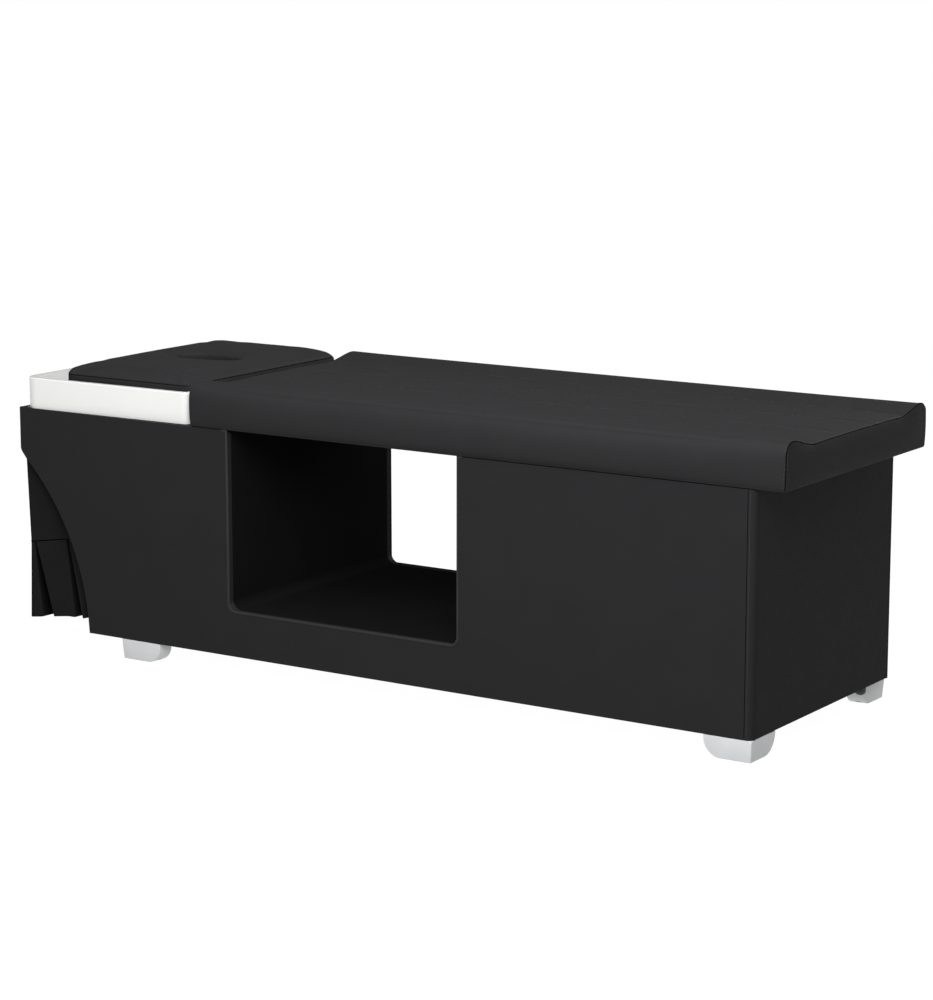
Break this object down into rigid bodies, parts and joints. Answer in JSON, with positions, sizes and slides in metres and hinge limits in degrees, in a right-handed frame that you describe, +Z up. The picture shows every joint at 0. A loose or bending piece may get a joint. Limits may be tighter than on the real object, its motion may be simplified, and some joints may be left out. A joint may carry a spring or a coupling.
{
  "type": "hair washing bed",
  "caption": "Upholstered salon bed on a box base with a side-to-side tunnel, a deep basin under a lift-out head cushion and a pleated curtain before the plumbing.",
  "frame": {"origin": "on the floor under the middle of the whole bed", "axes": "+X towards the foot end along the bed, +Y towards the far long side, +Z up"},
  "size_m": [2.13, 0.7002, 0.706],
  "materials": {
    "base_leatherette": "black leatherette, fine grain, low satin",
    "mattress_leatherette": "black leatherette on foam, fine grain, low satin",
    "cushion_leatherette": "black leatherette on foam, fine grain, low satin",
    "curtain_leatherette": "thin black leatherette, soft satin",
    "plywood": "birch plywood, sanded",
    "timber": "planed softwood",
    "dust_cloth": "black non-woven cloth",
    "basin_acrylic": "white glossy acrylic",
    "neck_gel": "black soft moulded polyurethane",
    "chrome": "polished chrome plate",
    "stainless_steel": "stainless steel",
    "zinc_steel": "bright zinc plated",
    "brass": "turned brass",
    "rubber": "moulded black rubber",
    "white_plastic": "white polypropylene",
    "foot_plastic": "light silver-grey moulded plastic, satin"
  },
  "bodies": {
    "base": {"apron_board": "plywood", "apron_cover": "base_leatherette", "base_board": "plywood", "basin": "basin_acrylic", "basin_rails": "timber", "bottom_cloth": "dust_cloth", "bulkhead": "plywood", "curtain_flounce": "curtain_leatherette", "curtain_rail": "timber", "curtain_yoke": "curtain_leatherette", "drain_flange": "chrome", "drain_gasket": "rubber", "drain_nut": "brass", "floor_buffer": "rubber", "foot_end_cover": "base_leatherette", "foot_end_panel": "plywood", "foot_far_foot_end": "foot_plastic", "foot_far_head_end": "foot_plastic", "foot_near_foot_end": "foot_plastic", "foot_near_head_end": "foot_plastic", "foot_pod_deck": "plywood", "foot_pod_posts": "timber", "foot_screws": "zinc_steel", "head_pod_posts": "timber", "mattress_board": "plywood", "mattress_bolts": "zinc_steel", "mattress_pad": "mattress_leatherette", "mixer_body": "chrome", "mixer_cartridge": "white_plastic", "mixer_inlets": "stainless_steel", "mixer_nut": "brass", "neck_deck": "plywood", "neck_rest": "neck_gel", "side_cover_far": "base_leatherette", "side_cover_near": "base_leatherette", "side_panel_far": "plywood", "side_panel_near": "plywood", "spray_socket": "chrome", "spray_socket_nut": "brass", "toe_rail": "timber", "trap_body": "white_plastic", "trap_cup": "white_plastic", "tunnel_coves": "timber", "tunnel_floor": "plywood", "tunnel_foot_wall": "plywood", "tunnel_head_wall": "plywood", "tunnel_lining": "base_leatherette", "waste_tail": "white_plastic", "waste_union_nut": "white_plastic"},
    "head_cushion": {"head_cushion_board": "plywood", "head_cushion_pad": "cushion_leatherette"},
    "mixer_dome": {"mixer_dome": "chrome"},
    "mixer_lever": {"mixer_lever": "chrome"},
    "hand_spray": {"spray_head": "chrome", "spray_face": "rubber"},
    "strainer": {"drain_strainer": "stainless_steel"}
  },
  "joints": [
    {"name": "head_cushion_lift", "type": "slide", "parent": "base", "child": "head_cushion", "axis": [0, 0, 1], "range_m": [0, 0.12]},
    {"name": "mixer_turn", "type": "hinge", "parent": "base", "child": "mixer_dome", "pos_m": [-0.993, 0.07, 0.648], "axis": [0, 0, 1], "range_deg": [-25, 25]},
    {"name": "mixer_tilt", "type": "hinge", "parent": "mixer_dome", "child": "mixer_lever", "pos_m": [-0.993, 0.0575, 0.6563], "axis": [1, 0, 0], "range_deg": [0, 22]},
    {"name": "spray_lift", "type": "slide", "parent": "base", "child": "hand_spray", "axis": [0, 0, 1], "range_m": [0, 0.12]},
    {"name": "strainer_lift", "type": "slide", "parent": "base", "child": "strainer", "axis": [0, 0, 1], "range_m": [0, 0.04]}
  ]
}
